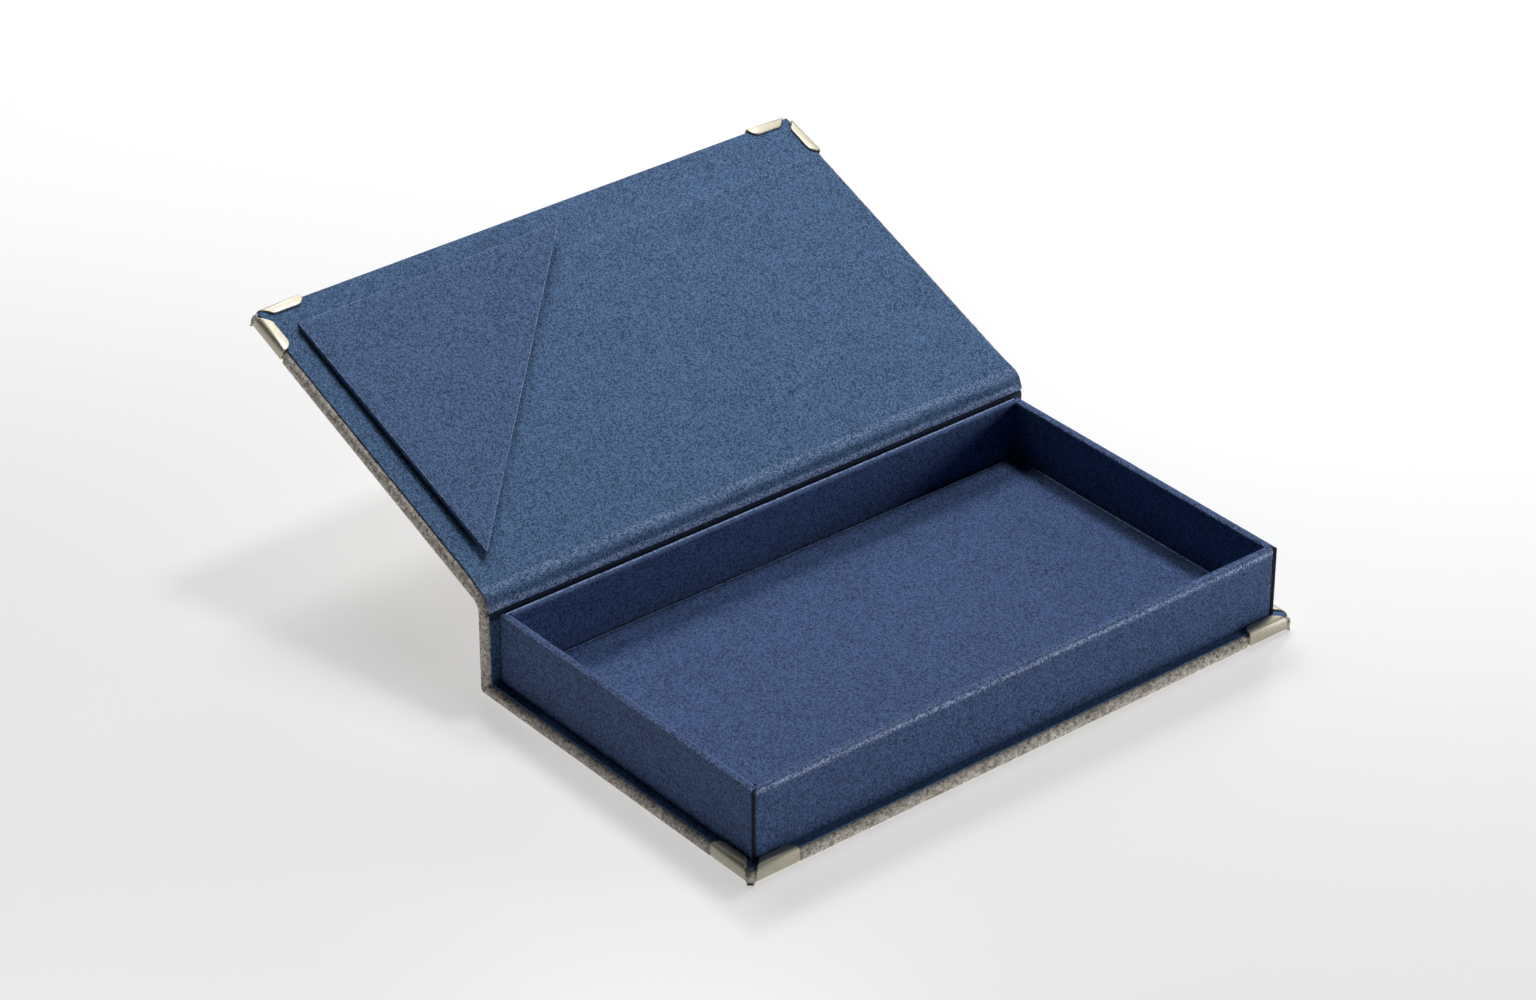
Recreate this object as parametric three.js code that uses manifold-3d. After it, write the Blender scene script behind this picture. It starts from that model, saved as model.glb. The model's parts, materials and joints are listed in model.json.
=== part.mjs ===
// Archival presentation box: a felt-covered book-style case with a cloth-covered tray glued inside it.
// The lid turns on a flexible cloth joint along the top of the spine and carries a triangular document
// pocket. Four folded metal corners guard the free corners of the lid and of the base.
// Millimetres, +Z up, X along the spine. The origin is the centre of the base's underside.
// The lid stands open, leaning back at its resting angle.

import * as THREE from 'three';
import { mergeVertices } from 'three/addons/utils/BufferGeometryUtils.js';
import Module from 'manifold-3d';

// ---- tray ----
const trayLength = 208;       // outside, along X
const trayDepth = 120;        // outside, along Y
const trayHeight = 24.3;      // from the base's lining to the top of the walls
const wallBoard = 1.6;        // greyboard of the walls
const floorBoard = 2;         // greyboard of the floor
const cloth = 0.4;            // book cloth, everywhere
const cornerReturn = 1.2;     // front and back cloth turned round the upright corners
const seamGap = 0.15;         // between two cloths that meet
const linerCard = 1.6;        // card inside the loose floor liner
const linerClearance = 0.4;   // between the floor liner and the walls

// ---- case ----
const caseBoard = 1.9;        // greyboard of the base, spine and lid
const felt = 1.1;             // felt cover
const turnIn = 20;            // felt folded over the board's edges, under the lining
const liningInset = 1.4;      // felt left showing between the lining and the case's edge
const glueGap = 0.2;          // between glued layers
const sideOverhang = 4.3;     // case beyond the tray, left and right
const frontOverhang = 4.6;    // case beyond the tray, front
const spineGap = 1;           // between the tray's back wall and the spine's lining

// ---- joint ----
const closingGap = 1.1;       // between the tray walls and the lid's lining when closed
const jointReach = 3.7;       // from the joint's axis to the end of the spine and to the start of the lid
const jointGap = 0.3;         // between the bending strips and the panels that they join
const lidOpening = 158.5;     // degrees from closed to the angle at which the lid rests open

// ---- document pocket, on the lid's lining ----
const pocketAcross = 101;     // the edge beside the lid's free edge, along X
const pocketSideRoom = 2.7;   // to the tray's left wall when closed
const pocketFrontRoom = 5.4;  // to the tray's front wall when closed
const pocketBackRoom = 5;     // to the tray's back wall when closed
const pocketDepth = 1.2;      // room between the lining and the panel
const pocketCard = 1;         // stiff card of the panel
const gussetThickness = 0.8;  // folded cloth
const gussetInset = 2.5;      // from the panel's edges
const gussetStop = 7.5;       // short of the panel's sharp ends

// ---- metal corners ----
const clipSheet = 0.4;        // sheet metal
const clipLeg = 19;           // along each edge, from the case's corner
const clipOpening = 4;        // open at the tip, along each edge
const clipMitre = 2.8;        // slant of a flange's end beside the tip
const clipRound = 2.8;        // radius of a flange's far end
const clipGap = 0.25;         // to the felt and the lining

const arcSteps = 6;

// ---- sizes that follow ----
const skin = cloth + glueGap;
const wall = wallBoard + 2 * skin;
const liningUnderside = 2 * felt + caseBoard + 3 * glueGap;
const caseThickness = liningUnderside + cloth;
const boardUnderside = felt + glueGap;
const turnInUnderside = boardUnderside + caseBoard + glueGap;
const turnInTop = turnInUnderside + felt;
const caseWidth = trayLength + 2 * sideOverhang;
const caseDepth = frontOverhang + trayDepth + spineGap + caseThickness;
const front = -caseDepth / 2;
const back = caseDepth / 2;
const trayTop = caseThickness + trayHeight;
const axisY = back - caseThickness / 2;
const axisZ = trayTop + closingGap + caseThickness / 2;
const lidReach = axisY - front;
const lidLean = THREE.MathUtils.degToRad(180 - lidOpening);
const pocketFromSide = sideOverhang + wall + pocketSideRoom;
const pocketFromFront = frontOverhang + wall + pocketFrontRoom;
const pocketAlong = trayDepth - 2 * wall - pocketFrontRoom - pocketBackRoom;
const clipTop = caseThickness + clipGap + clipSheet;
const clipFlange = Math.min(sideOverhang, frontOverhang) - clipGap; // on the inner face, clear of the tray

const bookCloth = new THREE.MeshStandardMaterial({ color: 0x35507d, roughness: 0.85, metalness: 0 });
const liningCloth = new THREE.MeshStandardMaterial({ color: 0x3c5785, roughness: 0.85, metalness: 0 });
const woolFelt = new THREE.MeshStandardMaterial({ color: 0x8f877d, roughness: 1, metalness: 0 });
const greyboard = new THREE.MeshStandardMaterial({ color: 0x8a8378, roughness: 0.95, metalness: 0 });
const card = new THREE.MeshStandardMaterial({ color: 0xcfc8b8, roughness: 0.9, metalness: 0 });
const paleBrass = new THREE.MeshStandardMaterial({ color: 0xd9d0b0, roughness: 0.3, metalness: 1 });

// ---- solids: shapes come from three.js, and manifold joins and cuts them ----
const wasm = await Module();
wasm.setup();

function toSolid(geometry) {
  const bare = geometry.clone();
  bare.deleteAttribute('normal');
  bare.deleteAttribute('uv');
  const merged = mergeVertices(bare);
  const vertProperties = Float32Array.from(merged.attributes.position.array);
  const triVerts = Uint32Array.from(merged.index.array);
  return new wasm.Manifold(new wasm.Mesh({ numProp: 3, vertProperties, triVerts }));
}

function toGeometry(solid) {
  const mesh = solid.getMesh();
  const geometry = new THREE.BufferGeometry();
  geometry.setAttribute('position', new THREE.BufferAttribute(mesh.vertProperties, 3));
  geometry.setIndex(new THREE.BufferAttribute(mesh.triVerts, 1));
  geometry.computeVertexNormals();
  return geometry;
}

function join(first, ...others) {
  return toGeometry(others.reduce((solid, other) => solid.add(toSolid(other)), toSolid(first)));
}

function cut(first, ...tools) {
  return toGeometry(tools.reduce((solid, tool) => solid.subtract(toSolid(tool)), toSolid(first)));
}

function common(first, second) {
  return toGeometry(toSolid(first).intersect(toSolid(second)));
}

// A box between two opposite corners.
function slab([x0, y0, z0], [x1, y1, z1]) {
  const box = new THREE.BoxGeometry(x1 - x0, y1 - y0, z1 - z0);
  return box.translate((x0 + x1) / 2, (y0 + y1) / 2, (z0 + z1) / 2);
}

// An outline in X and Y, raised from one height to another.
function plate(shape, bottom, top) {
  const settings = { depth: top - bottom, bevelEnabled: false, curveSegments: arcSteps };
  return new THREE.ExtrudeGeometry(shape, settings).translate(0, 0, bottom);
}

function polygon(points) {
  return new THREE.Shape(points.map(([x, y]) => new THREE.Vector2(x, y)));
}

function node(name, geometry, material) {
  const mesh = new THREE.Mesh(geometry, material);
  mesh.name = name;
  return mesh;
}

// ---- metal corner ----
// Its corner is the origin and its legs run along +X and +Y, with the outer plate at z = 0.

function flange() {
  const shape = new THREE.Shape();
  shape.moveTo(clipOpening, 0);
  shape.lineTo(clipLeg, 0);
  shape.lineTo(clipLeg, clipFlange - clipRound);
  shape.absarc(clipLeg - clipRound, clipFlange - clipRound, clipRound, 0, Math.PI / 2, false);
  shape.lineTo(clipOpening + clipMitre, clipFlange);
  shape.closePath();
  return plate(shape, clipTop - clipSheet, clipTop);
}

// The outer plate and the two side walls, grown inwards by a gap when they cut their seat in the felt.
function cornerShell(gap) {
  const far = clipLeg + gap * (1 + Math.SQRT2);
  const near = clipOpening / 2 - gap;
  const outline = polygon([[near, -gap], [far, -gap], [-gap, far], [-gap, near]]);
  const depth = clipSheet + gap;
  const start = clipOpening - gap;
  const end = clipLeg + gap;
  const sideX = slab([start, -gap, -gap], [end, depth, clipTop]);
  const sideY = slab([-gap, start, -gap], [depth, end, clipTop]);
  return join(plate(outline, -gap, depth), sideX, sideY);
}

function metalCorner() {
  const flangeX = flange();
  const swap = new THREE.Matrix4().makeBasis(
    new THREE.Vector3(0, 1, 0), new THREE.Vector3(1, 0, 0), new THREE.Vector3(0, 0, -1));
  const flangeY = flange().translate(0, 0, -2 * clipTop + clipSheet).applyMatrix4(swap);
  return join(cornerShell(0), flangeX, flangeY);
}

// Moves a corner from the origin to the left or right end of a panel's wrapped edge.
function seatCorner(geometry, side) {
  const turn = side < 0 ? 0 : Math.PI / 2;
  return geometry.rotateZ(turn).translate(side * caseWidth / 2, 0, 0);
}

// ---- covered panel ----
// It lies with its felt face at z = 0 and its wrapped edge along y = 0. The other long edge is open,
// because the felt and the lining run on from there. The lid and the base turn their felt in along the
// wrapped edge and carry metal corners. The spine's felt only goes round its foot.

function coveredPanel(name, depth, { liningFrom, liningTo, frontTurnIn, corners }) {
  const half = caseWidth / 2;
  const inner = half - felt;
  const window = half - turnIn;
  const windowStart = frontTurnIn ? turnIn : felt;
  const past = depth + felt;
  const seats = corners ? [-1, 1].map((side) => seatCorner(cornerShell(clipGap), side)) : [];
  const feltCover = cut(
    slab([-half, 0, 0], [half, depth, turnInTop]),
    slab([-inner, felt, felt], [inner, past, turnInUnderside]),
    slab([-window, windowStart, turnInUnderside - glueGap], [window, past, turnInTop + felt]),
    ...seats);
  const boardHalf = inner - glueGap;
  const infillHalf = window - glueGap;
  const liningHalf = half - liningInset;
  const panel = new THREE.Group();
  panel.add(
    node(`${name}_felt`, feltCover, woolFelt),
    node(`${name}_board`, slab([-boardHalf, felt + glueGap, boardUnderside],
      [boardHalf, depth, boardUnderside + caseBoard]), greyboard),
    node(`${name}_infill_card`, slab([-infillHalf, windowStart + glueGap, turnInUnderside],
      [infillHalf, depth, turnInTop]), card),
    node(`${name}_lining`, slab([-liningHalf, liningFrom, liningUnderside],
      [liningHalf, liningTo, caseThickness]), liningCloth));
  if (corners) {
    for (const [side, label] of [[-1, corners[0]], [1, corners[1]]]) {
      panel.add(node(`${name}_corner_${label}`, seatCorner(metalCorner(), side), paleBrass));
    }
  }
  return panel;
}

function buildBase() {
  const depth = caseDepth - turnInTop;
  const liningTo = caseDepth - caseThickness;
  const base = coveredPanel('base', depth, {
    liningFrom: liningInset, liningTo, frontTurnIn: true, corners: ['left', 'right'],
  });
  base.position.y = front;
  return base;
}

function buildSpine() {
  const height = axisZ - jointReach;
  const spine = coveredPanel('spine', height, {
    liningFrom: caseThickness, liningTo: height, frontTurnIn: false, corners: null,
  });
  spine.rotation.x = Math.PI / 2;
  spine.position.y = back;
  return spine;
}

// ---- joint ----
// Two strips bend between the spine and the lid: the lining over the joint, and the felt behind it.
// Each outline is in Y and Z, measured from the joint's axis.

function ring(distance, from, to) {
  const steps = [...Array(arcSteps + 1).keys()];
  return steps.map((step) => {
    const angle = from + (to - from) * step / arcSteps;
    return [distance * Math.cos(angle), distance * Math.sin(angle)];
  });
}

// A point beside the lid's middle plane: its reach along the lid and its height on the lining's side.
function besideLid(reach, height) {
  const alongLid = new THREE.Vector2(reach, height).rotateAround(new THREE.Vector2(), lidLean);
  return [alongLid.x, alongLid.y];
}

function strip(outline, width) {
  const along = plate(polygon(outline), -width / 2, width / 2);
  const upright = new THREE.Matrix4().makeBasis(
    new THREE.Vector3(0, 1, 0), new THREE.Vector3(0, 0, 1), new THREE.Vector3(1, 0, 0));
  return along.applyMatrix4(upright).translate(0, axisY, axisZ);
}

function buildJoint() {
  const reach = jointReach - jointGap;
  const face = caseThickness / 2;
  const liningBack = face - cloth;
  const towardsLid = Math.PI / 2 + lidLean;
  const lining = strip([
    [-face, -reach], [-liningBack, -reach],
    ...ring(liningBack, Math.PI, towardsLid),
    besideLid(reach, liningBack), besideLid(reach, face),
    ...ring(face, towardsLid, Math.PI),
  ], caseWidth - 2 * liningInset);
  const feltFront = face - felt;
  const inside = feltFront / Math.cos((Math.PI / 2 - lidLean) / 2);
  const bend = (lidLean - Math.PI / 2) / 2;
  const feltStrip = strip([
    [feltFront, -reach], [face, -reach],
    besideLid(reach, -face), besideLid(reach, -feltFront),
    [inside * Math.cos(bend), inside * Math.sin(bend)],
  ], caseWidth);
  const joint = new THREE.Group();
  joint.add(node('joint_lining', lining, liningCloth), node('joint_felt', feltStrip, woolFelt));
  return joint;
}

// ---- lid ----
// The group turns about the joint's axis: its Y runs from the axis to the free edge, and its Z points
// to the lining's side from the lid's middle plane.

// A right-angled outline with its corner at the origin, its legs along +X and -Y, drawn in by an inset.
function pocketOutline(inset) {
  const slant = Math.hypot(1 / pocketAcross, 1 / pocketAlong);
  const rest = 1 - inset * slant;
  const right = pocketAcross * (rest - inset / pocketAlong);
  const low = pocketAlong * (rest - inset / pocketAcross);
  return polygon([[inset, -inset], [inset, -low], [right, -inset]]);
}

function buildPocket() {
  const cardTop = pocketDepth + pocketCard;
  const hollowTop = cardTop + glueGap;
  const cover = cut(
    plate(pocketOutline(0), pocketDepth, hollowTop + cloth),
    plate(pocketOutline(cloth), pocketDepth - cloth, hollowTop));
  const gussetTop = pocketDepth - glueGap;
  const gussetFoot = gussetInset + gussetThickness;
  const pocket = new THREE.Group();
  pocket.add(
    node('pocket_cover', cover, bookCloth),
    node('pocket_card', plate(pocketOutline(cloth + glueGap), pocketDepth, cardTop), card),
    node('pocket_gusset_top', slab([gussetInset, -gussetFoot, glueGap],
      [pocketAcross - gussetStop, -gussetInset, gussetTop]), bookCloth),
    node('pocket_gusset_side', slab([gussetInset, gussetStop - pocketAlong, glueGap],
      [gussetFoot, -gussetFoot - gussetInset, gussetTop]), bookCloth));
  pocket.position.set(pocketFromSide - caseWidth / 2, lidReach - pocketFromFront, caseThickness / 2);
  return pocket;
}

function buildLid() {
  const depth = lidReach - jointReach;
  const panel = coveredPanel('lid', depth, {
    liningFrom: liningInset, liningTo: depth, frontTurnIn: true, corners: ['right', 'left'],
  });
  panel.rotation.z = Math.PI;
  panel.position.set(0, lidReach, -caseThickness / 2);
  const lid = new THREE.Group();
  lid.add(panel, buildPocket());
  lid.position.set(0, axisY, axisZ);
  lid.rotation.x = lidLean;
  return lid;
}

// ---- tray ----
// Its outer front left corner at the foot of the walls is the origin of its group.

// A square ring between two heights and between two distances from the tray's outer faces.
function wallRing(outer, inner, bottom, top) {
  return cut(
    slab([outer, outer, bottom], [trayLength - outer, trayDepth - outer, top]),
    slab([inner, inner, bottom - cloth], [trayLength - inner, trayDepth - inner, top + cloth]));
}

// The parts of the ring that each cloth covers. The front and back cloths turn round the corners.
function clothRegions() {
  const seam = cornerReturn + seamGap;
  const above = trayHeight + cloth;
  const inside = wall + seamGap;
  const across = (low, high) => slab([-cloth, low, -cloth], [trayLength + cloth, high, above]);
  const between = (low, high) => slab([inside, low, -cloth], [trayLength - inside, high, above]);
  const beside = (low, high) => slab([low, seam, -cloth], [high, trayDepth - seam, above]);
  return {
    front: join(across(-cloth, cornerReturn), between(0, wall)),
    back: join(across(trayDepth - cornerReturn, trayDepth + cloth), between(trayDepth - wall, trayDepth)),
    left: beside(-cloth, wall),
    right: beside(trayLength - wall, trayLength + cloth),
  };
}

function buildTray() {
  const boardTop = trayHeight - skin;
  const boardInside = wall - skin;
  const farX = trayLength - skin;
  const farY = trayDepth - skin;
  const sideStart = boardInside + glueGap;
  const sideEnd = trayDepth - sideStart;
  const boards = {
    front: slab([skin, skin, 0], [farX, boardInside, boardTop]),
    back: slab([skin, trayDepth - boardInside, 0], [farX, farY, boardTop]),
    left: slab([skin, sideStart, 0], [boardInside, sideEnd, boardTop]),
    right: slab([trayLength - boardInside, sideStart, 0], [farX, sideEnd, boardTop]),
  };
  const hollow = wallRing(cloth, wall - cloth, -cloth, trayHeight - cloth);
  const shell = cut(wallRing(0, wall, 0, trayHeight), hollow);
  const regions = clothRegions();
  const tray = new THREE.Group();
  for (const side of ['front', 'back', 'left', 'right']) {
    tray.add(node(`tray_${side}_wall`, boards[side], greyboard));
    tray.add(node(`tray_${side}_cloth`, common(shell, regions[side]), bookCloth));
  }
  // A slab that stops a given distance short of the walls' inner faces.
  const inWalls = (distance, bottom, top) => {
    const edge = wall + distance;
    return slab([edge, edge, bottom], [trayLength - edge, trayDepth - edge, top]);
  };
  tray.add(node('tray_floor', inWalls(glueGap, 0, floorBoard), greyboard));

  const linerFoot = floorBoard + glueGap;
  const cardTop = linerFoot + linerCard;
  const cardEdge = linerClearance + skin;
  const linerCover = cut(
    inWalls(linerClearance, linerFoot, cardTop + skin),
    inWalls(linerClearance + cloth, linerFoot - cloth, cardTop + glueGap));
  tray.add(node('floor_liner_card', inWalls(cardEdge, linerFoot, cardTop), card));
  tray.add(node('floor_liner_cloth', linerCover, bookCloth));
  tray.position.set(-trayLength / 2, front + frontOverhang, caseThickness);
  return tray;
}

const box = new THREE.Group();
box.add(buildBase(), buildSpine(), buildTray(), buildJoint(), buildLid());

export default box;
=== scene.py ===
# Archival presentation box: a felt-covered book-style case, lined with book cloth, with a cloth-covered
# tray glued into it, a loose floor liner, a triangular document pocket and four folded metal corners.
# Metres, +Z up, X along the spine. The lid rests open, leaning back from the top of the spine.

import json
import math

import bmesh
import bpy
from mathutils import Matrix, Vector, noise


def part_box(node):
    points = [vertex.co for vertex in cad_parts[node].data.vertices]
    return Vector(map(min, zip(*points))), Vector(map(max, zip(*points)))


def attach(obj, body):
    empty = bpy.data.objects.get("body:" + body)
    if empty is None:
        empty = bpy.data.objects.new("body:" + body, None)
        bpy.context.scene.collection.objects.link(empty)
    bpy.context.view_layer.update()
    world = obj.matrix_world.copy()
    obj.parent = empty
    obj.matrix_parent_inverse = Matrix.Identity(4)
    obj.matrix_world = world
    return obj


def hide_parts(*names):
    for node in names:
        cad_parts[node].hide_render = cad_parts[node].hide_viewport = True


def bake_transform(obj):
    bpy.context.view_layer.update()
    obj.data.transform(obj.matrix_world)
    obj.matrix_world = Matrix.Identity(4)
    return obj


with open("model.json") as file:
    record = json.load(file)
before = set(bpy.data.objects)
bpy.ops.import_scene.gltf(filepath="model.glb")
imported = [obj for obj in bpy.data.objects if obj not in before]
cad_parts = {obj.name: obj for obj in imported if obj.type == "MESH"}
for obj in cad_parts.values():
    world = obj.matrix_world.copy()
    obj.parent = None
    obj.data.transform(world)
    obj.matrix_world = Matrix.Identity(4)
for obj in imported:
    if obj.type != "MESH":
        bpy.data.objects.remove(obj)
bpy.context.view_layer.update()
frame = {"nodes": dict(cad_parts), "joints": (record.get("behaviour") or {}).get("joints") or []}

MM = 0.001
SAME = 0.02 * MM           # points nearer than this are in one place
HAIR = 0.01 * MM           # to stay just to one side of a line
MERGE = 0.001 * MM         # doubled points

# ---- places and sizes that come from the frame ----
lid_joint = frame["joints"][0]
axis = Vector(lid_joint["pos_m"])
lean = math.pi - math.radians(lid_joint["range_deg"][1])
case_low, case_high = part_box("base_felt")
half = case_high.x
front = case_low.y
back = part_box("spine_felt")[1].y
turn_in_top = case_high.z
spine_inner = back - turn_in_top
lining_low, lining_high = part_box("base_lining")
thickness = lining_high.z
spine_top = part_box("spine_lining")[1].z
spine_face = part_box("spine_lining")[0].y
lining_inset = lining_low.y - front
reach = axis.y - front
tray_low = Vector((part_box("tray_front_cloth")[0].x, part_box("tray_front_cloth")[0].y, thickness))
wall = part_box("tray_left_cloth")[1].x - tray_low.x
pocket_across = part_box("pocket_cover")[1].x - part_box("pocket_cover")[0].x

# ---- sizes of the felt ----
FELT = 1.1 * MM            # thickness
THINNEST = 0.8             # share of it that is kept at the panels' ends
TURN_IN = 20 * MM          # felt folded over the boards' edges, under the lining
FELT_ROUND = 1.9 * MM      # felt over a board's edge
GLUE = 0.2 * MM            # room between layers that are glued
BEND = 6 * MM              # radius of the lining round the joint
HOLLOW = 4 * MM            # radius of the felt in the hollow behind the joint
JOINT_FOOT = 2 * MM        # the felt's bend starts this far below the spine's top
FIRST_STEP = 3 * MM        # of an extrusion whose end is then set at its place
JOINT_ROW = 0.75 * MM      # from one row of faces to the next, round the joint
PINCH = 0.15               # share of the case's thickness lost at the joint, where no board stands
PINCH_WIDTH = 3 * MM
PINCH_REACH = 12 * MM      # from the axis
PLEAT = 0.9 * MM           # depth of the tuck at each end of the fold between the base and the spine
PLEAT_WIDTH = 0.7 * MM     # to each side of the fold
PLEAT_REACH = 2.2 * MM     # in from the spine's end
PLEAT_RISE = 3 * MM        # height from which it is at its full depth

# ---- sizes of the lining ----
CLOTH = 0.4 * MM           # book cloth
THREAD = 0.43 * MM         # from one thread to the next, as coarse as the weave needs to be to show
GROOVE = 0.25 * MM         # depth of the soft hollow in the lining, half-way round the joint
GROOVE_WIDTH = 1.8 * MM
GROOVE_PLACE = -1 * MM     # from the axis, along the joint
VALLEY = 0.9 * MM          # depth of the lining pressed in just above the spine's board
VALLEY_WIDTH = 0.7 * MM
VALLEY_HEIGHT = spine_top + 0.4 * MM
VALLEY_SHADE = 2.5 * MM    # how far the painted shade goes on below it, in the gap beside the tray
VALLEY_ROW = 0.5 * MM      # from one row of faces to the next, below the spine's top
VALLEY_FELT = 0.5 * MM     # felt this near the spine's inner face is pressed in with the lining
JOINT_REACH = 10 * MM      # the lining is shaped so far from the axis
LID_FROM = 6 * MM          # and lies flat on the lid from here on
LID_BARE = 0.5 * MM        # more felt left showing at the lid's ends
LINING_FOOT = 1 * MM       # lining at the spine's foot
LINING_STRIP = 9 * MM      # width of its strips, along the spine
LINING_STRIPS = 13         # strips on the base and on the lid, the other way
CREASE = 0.14 * MM         # height of the crease where the felt's turned-in end lies under the lid's lining
CREASE_WIDTH = 0.6 * MM
CREASE_CUTS = (-1.2, -0.5, 0, 0.5, 1.2)  # between the rows of faces across it, in mm from its middle
WAVE = 0.12 * MM           # unevenness of the lining glued to the lid
WAVE_LENGTH = 26 * MM

# A tone of 0 is the cloth's own colour. Above 0 it takes a painted highlight, paler, and below 0 painted
# shade, darker.
TONE_REACH = 8 * MM        # the joint's tones, from the axis
RIDGE_TONE = 1.6           # painted highlight on the roll of lining above the valley
RIDGE_WIDTH = 2.4 * MM
RIDGE_HEIGHT = spine_top + 1.85 * MM
LID_BAND_TONE = 0.34        # painted highlight band on the lining over the lower end of the lid's board
LID_BAND_WIDTH = 2.2 * MM
LID_BAND_PLACE = 2.2 * MM   # from the axis, along the lid
# painted highlight along the crease over the felt's turned-in end
CREASE_TONE = 0.14
FRONT_TONE = 1.2           # painted highlight line on the tray's front wall
FRONT_HIGHLIGHT = 1.4 * MM       # its place below the wall's top
FRONT_HIGHLIGHT_WIDTH = 0.9 * MM
BACK_TONE = 3              # painted highlight line on top of the back wall
BACK_HIGHLIGHT = 0.85 * MM       # its place, in from the outer face
BACK_HIGHLIGHT_WIDTH = 0.5 * MM
SIDE_TONE = 0.4            # share of a fold's painted highlight on the side walls
LINER_TONE = 3             # painted highlight line just inside the floor liner's edges
FLAT = 0.985               # cosine of a face's angle to the board under it, from which down it is a fold
FOLD_RANGE = 0.15          # how much lower still the cosine is where the fold's tone is full

# ---- sizes of the tray and its floor liner ----
WALL_ROUND = 0.9 * MM      # top edges and upright corners of the walls
CORNER_LAP = 1.2 * MM      # end of a side wall beside the front or back cloth
SEAM = 0.15 * MM           # between two cloths that meet
WALL_ROW = 0.45 * MM       # from one row of faces to the next, below a wall's rounded top
TOP_ROW_FROM = 1.1 * MM    # rows along a wall's top, in from its outer face
TOP_ROW = 0.3 * MM
LINER_ROUND = 0.4 * MM     # edges of the floor liner
LINER_HIGHLIGHT = 0.6 * MM          # width of the painted highlight line just inside them

# ---- sizes of the metal corners ----
SHEET = 0.4 * MM           # thickness of the metal
LEG = 19 * MM              # a corner's leg, along each edge
LEG_SHOWN = 18.5 * MM      # of that, the metal itself
TIP = 2.4 * MM             # open at the tip, along each edge
FLANGE = 4.05 * MM         # width of a flange on the inner face
FLANGE_ROUND = 3.5 * MM    # far end of a flange
FLANGE_TIP_ROUND = 0.7 * MM  # its end beside the mitre
ROLLED = 0.28 * MM         # rounding of the metal's edges
METAL_BEND = 2.1 * MM      # outer radius of the folds
METAL_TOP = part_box("base_corner_left")[1].z
METAL_GAP = 0.2 * MM       # between the metal and the felt under it
SLOPE = 0.45 * MM          # width of the felt's slope round the metal
SKIN = 0.9 * MM            # felt this near a panel's face is its outer skin
TWO_EDGES = ((0, 1), (1, 0))  # a corner's directions along and across its first edge, and its second

# ---- sizes of the pocket ----
POCKET_ROUND = 0.45 * MM   # edges of the panel
POCKET_SHIFT = 1.2 * MM    # of the pocket along the lid, as it was glued by hand
POCKET_STRIP = 6 * MM      # width of the strips that let it bend
PRESSED = 0.5 * MM         # the panel pressed down at its right angle
SPRUNG_ACROSS = 2.6 * MM   # sprung up from there to its upper right end
SPRUNG_DOWN = 1.1 * MM     # and to its lower end
BOW = 0.3 * MM             # and half-way down its upright edge
CARD_UP = 0.05 * MM        # the card above the lower edge of its cloth
GUSSET = 0.25 * MM         # thickness of a folded gusset
GUSSET_INSET = 2.5 * MM    # in from the panel's edge
GUSSET_LEAF = 4 * MM       # width of its two leaves, on the lid and under the panel
GUSSET_STOP = 22.5 * MM    # short of the panel's sharp end
GUSSET_BELOW = 6 * MM      # the side gusset below the panel's top edge

# The box seen from its front left, from above.
VIEW_AZIMUTH = math.radians(-39.24)
VIEW_ELEVATION = math.radians(31.2)
VIEW_LENS = 113.24
LIGHT_DISTANCE = 1.6
VIEW_OFFSET = Vector((0.00464, 0.10333, 1.38384))  # from the tray's front left foot: right, up and back

# Panels lie in a frame of their own: felt face at z = 0, wrapped edge along y = 0, lining on top.
base_seat = Matrix.Translation((0, front, 0))
lid_seat = (Matrix.Translation(axis) @ Matrix.Rotation(lean, 4, "X")
            @ Matrix.Translation((0, reach, -thickness / 2)) @ Matrix.Rotation(math.pi, 4, "Z"))

# Directions at the joint, in the YZ plane: along the lid, out of its lining, and halfway round the bend.
lid_along = Vector((0, math.cos(lean), math.sin(lean)))
lid_out = Vector((0, -math.sin(lean), math.cos(lean)))
bend_turn = math.pi / 2 - lean
bend_along = Vector((0, math.cos(lean + bend_turn / 2), math.sin(lean + bend_turn / 2)))
bend_out = Vector((0, -bend_along.z, bend_along.y))

# The three directions of the tray's boards, and of the lid's.
UPRIGHT = (Vector((1, 0, 0)), Vector((0, 1, 0)), Vector((0, 0, 1)))
ON_LID = (Vector((1, 0, 0)), lid_along, lid_out)


# ---- modelling helpers ----

def start(piece, name):
    """Names a new primitive, puts its place in its mesh and opens it in edit mode."""
    piece.name = name
    piece.data.name = name
    bpy.ops.object.transform_apply(location=True, rotation=True, scale=True)
    bpy.ops.object.mode_set(mode="EDIT")
    return piece


def block(name, low, high):
    bpy.ops.object.select_all(action="DESELECT")
    middle = [(a + b) / 2 for a, b in zip(low, high)]
    size = [b - a for a, b in zip(low, high)]
    bpy.ops.mesh.primitive_cube_add(size=1, location=middle, scale=size)
    return start(bpy.context.object, name)


def sheet(name, low, high):
    """A flat rectangle facing up, at the height of its first corner."""
    bpy.ops.object.select_all(action="DESELECT")
    middle = ((low[0] + high[0]) / 2, (low[1] + high[1]) / 2, low[2])
    size = (high[0] - low[0], high[1] - low[1], 1)
    bpy.ops.mesh.primitive_plane_add(size=1, location=middle)
    bpy.context.object.scale = size
    return start(bpy.context.object, name)


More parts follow.
